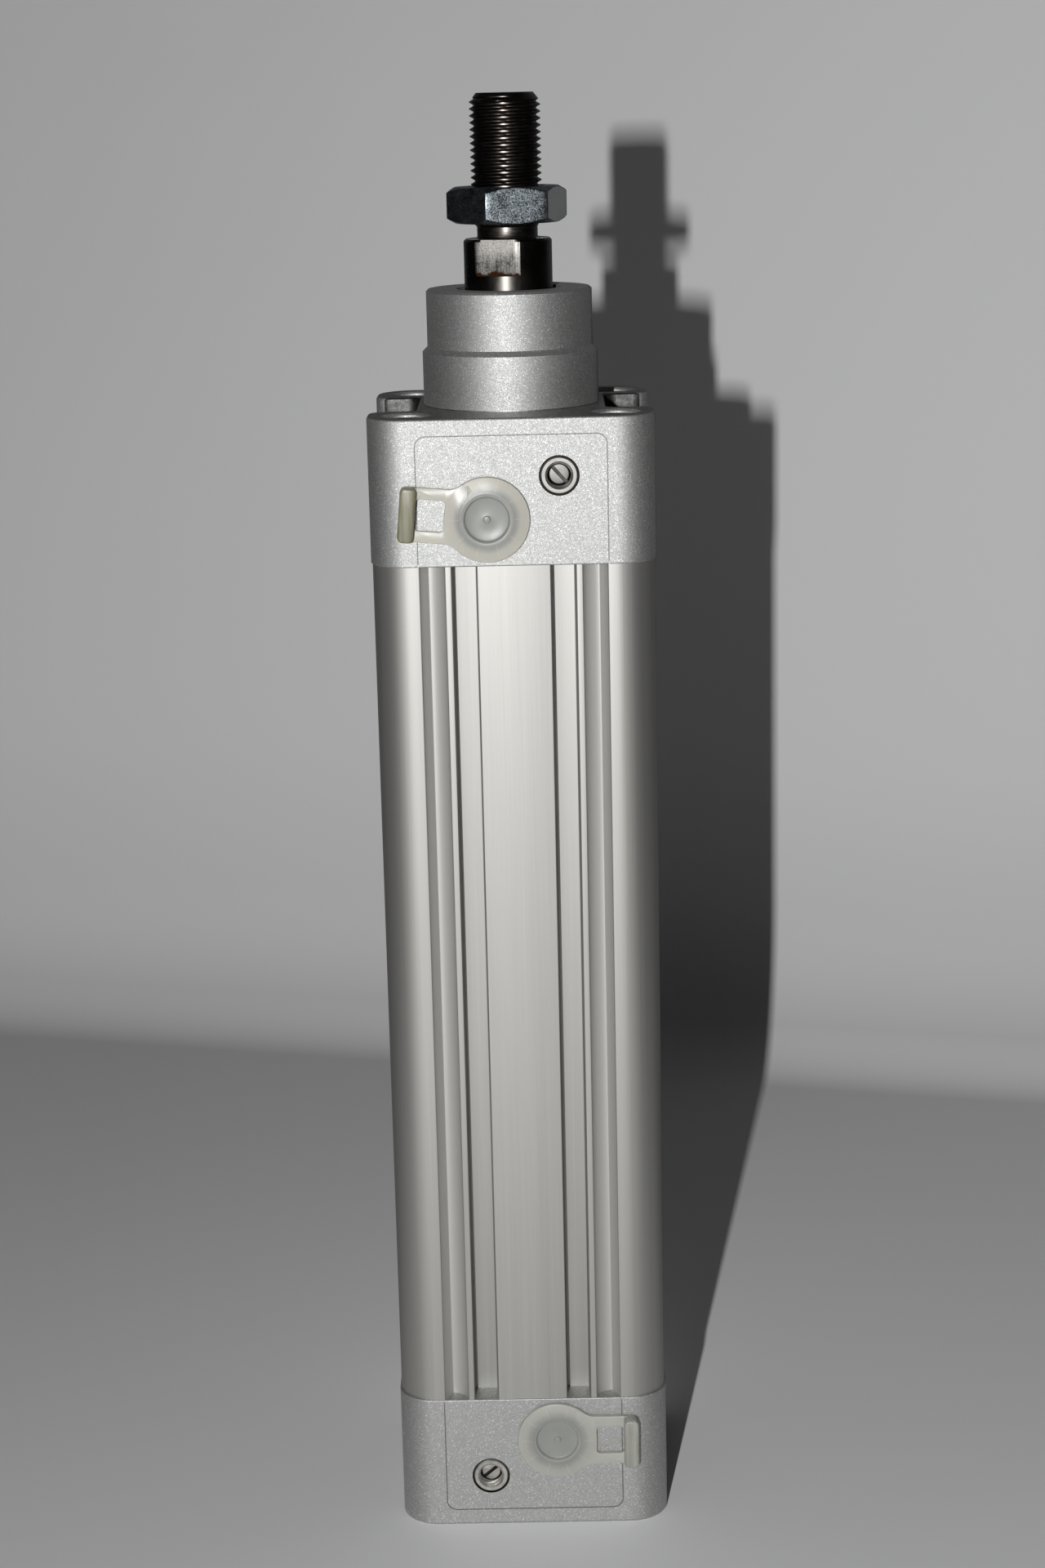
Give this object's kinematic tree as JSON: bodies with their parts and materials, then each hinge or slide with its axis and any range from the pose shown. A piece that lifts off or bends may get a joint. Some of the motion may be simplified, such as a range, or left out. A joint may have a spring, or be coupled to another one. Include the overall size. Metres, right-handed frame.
{
  "type": "pneumatic cylinder",
  "caption": "Upright double-acting pneumatic cylinder with a profile barrel, square end caps, chromed rod with threaded end and nut, two plugged air ports and cushion needles",
  "frame": {"origin": "centre of the rear cap's mounting face, on the cylinder's axis", "axes": "+Z along the rod towards its thread, the ports and needles face -Y, +X is to the right seen from the ports' side"},
  "size_m": [0.064, 0.068, 0.335],
  "materials": {
    "cap_paint": "silver flake paint, satin",
    "barrel_anodised": "satin anodised, drawn along its length",
    "zinc_screw": "zinc plated",
    "seal_rubber": "moulded",
    "wiper_rubber": "moulded",
    "bush_bronze": "sintered",
    "guide_plastic": "filled",
    "bush_steel": "turned",
    "needle_steel": "turned",
    "plug_plastic": "translucent, milky",
    "rod_chrome": "hard chrome",
    "nut_zinc": "zinc plated",
    "piston_aluminium": "turned",
    "magnet": "bonded magnet"
  },
  "bodies": {
    "housing": {"rear_cap": "cap_paint", "front_cap": "cap_paint", "barrel": "barrel_anodised", "rear_screw_left_back": "zinc_screw", "rear_screw_left_front": "zinc_screw", "rear_screw_right_back": "zinc_screw", "rear_screw_right_front": "zinc_screw", "front_screw_left_back": "zinc_screw", "front_screw_left_front": "zinc_screw", "front_screw_right_back": "zinc_screw", "front_screw_right_front": "zinc_screw", "rear_barrel_seal": "seal_rubber", "front_barrel_seal": "seal_rubber", "rear_cushion_seal": "seal_rubber", "front_cushion_seal": "seal_rubber", "rod_bush": "bush_bronze", "rod_seal": "seal_rubber", "rod_wiper": "wiper_rubber", "front_needle_bush": "bush_steel", "rear_needle_bush": "bush_steel", "front_needle_seal": "seal_rubber", "rear_needle_seal": "seal_rubber"},
    "piston_seals": {"piston_guide_ring": "guide_plastic", "front_piston_seal": "seal_rubber", "rear_piston_seal": "seal_rubber"},
    "rod_assembly": {"piston_rod": "rod_chrome", "piston_front": "piston_aluminium", "piston_rear": "piston_aluminium", "piston_magnet": "magnet", "front_bumper": "seal_rubber", "rear_bumper": "seal_rubber", "piston_o_ring": "seal_rubber", "front_cushion_spear": "piston_aluminium", "rear_cushion_spear": "piston_aluminium"},
    "nut": {"rod_nut": "nut_zinc"},
    "front_needle": {"front_cushion_needle": "needle_steel"},
    "rear_needle": {"rear_cushion_needle": "needle_steel"},
    "front_plug": {"front_port_plug": "plug_plastic"},
    "rear_plug": {"rear_port_plug": "plug_plastic"}
  },
  "joints": [
    {"name": "rod_slide", "type": "slide", "parent": "housing", "child": "piston_seals", "axis": [0, 0, 1], "range_m": [0, 0.16]},
    {"name": "rod_spin", "type": "hinge", "parent": "piston_seals", "child": "rod_assembly", "pos_m": [0, 0, 0.053], "axis": [0, 0, 1], "continuous": true},
    {"name": "nut_travel", "type": "slide", "parent": "rod_assembly", "child": "nut", "axis": [0, 0, 1], "range_m": [0, 0.02]},
    {"name": "front_needle_turn", "type": "hinge", "parent": "housing", "child": "front_needle", "pos_m": [0.01045, -0.0295, 0.25315], "axis": [0, 1, 0], "range_deg": [-360, 1080]},
    {"name": "rear_needle_turn", "type": "hinge", "parent": "housing", "child": "rear_needle", "pos_m": [-0.01045, -0.0295, 0.01285], "axis": [0, 1, 0], "range_deg": [-360, 1080]},
    {"name": "front_plug_pull", "type": "slide", "parent": "housing", "child": "front_plug", "axis": [0, -1, 0], "range_m": [0, 0.02]},
    {"name": "rear_plug_pull", "type": "slide", "parent": "housing", "child": "rear_plug", "axis": [0, -1, 0], "range_m": [0, 0.02]}
  ]
}
